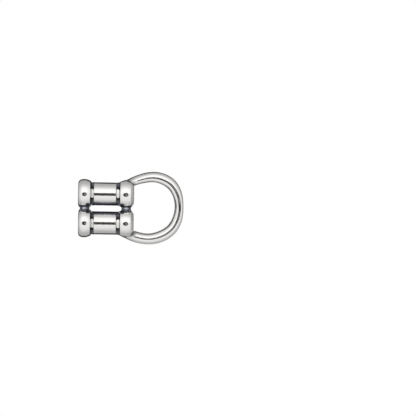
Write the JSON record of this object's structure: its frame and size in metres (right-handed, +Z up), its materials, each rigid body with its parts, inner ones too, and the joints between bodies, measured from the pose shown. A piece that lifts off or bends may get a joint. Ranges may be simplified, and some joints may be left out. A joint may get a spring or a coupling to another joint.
{
  "type": "crimp end",
  "caption": "Double-tube crimp end for round cord: parallel collared tubes joined by short webs, with a D-shaped wire loop, cast in one piece.",
  "frame": {"origin": "half way along the overall length, midway between the two tubes, on the plane that the piece lies on", "axes": "+X along the tubes from their mouths towards the loop, +Y across the two tubes, +Z up from the plane that the piece lies on"},
  "size_m": [0.014, 0.0097, 0.0039],
  "materials": {
    "antiqued_silver": "polished silver plate over brass, dark antiquing left in the grooves, webs and slot"
  },
  "bodies": {
    "root": {"crimp_end": "antiqued_silver"}
  },
  "joints": []
}
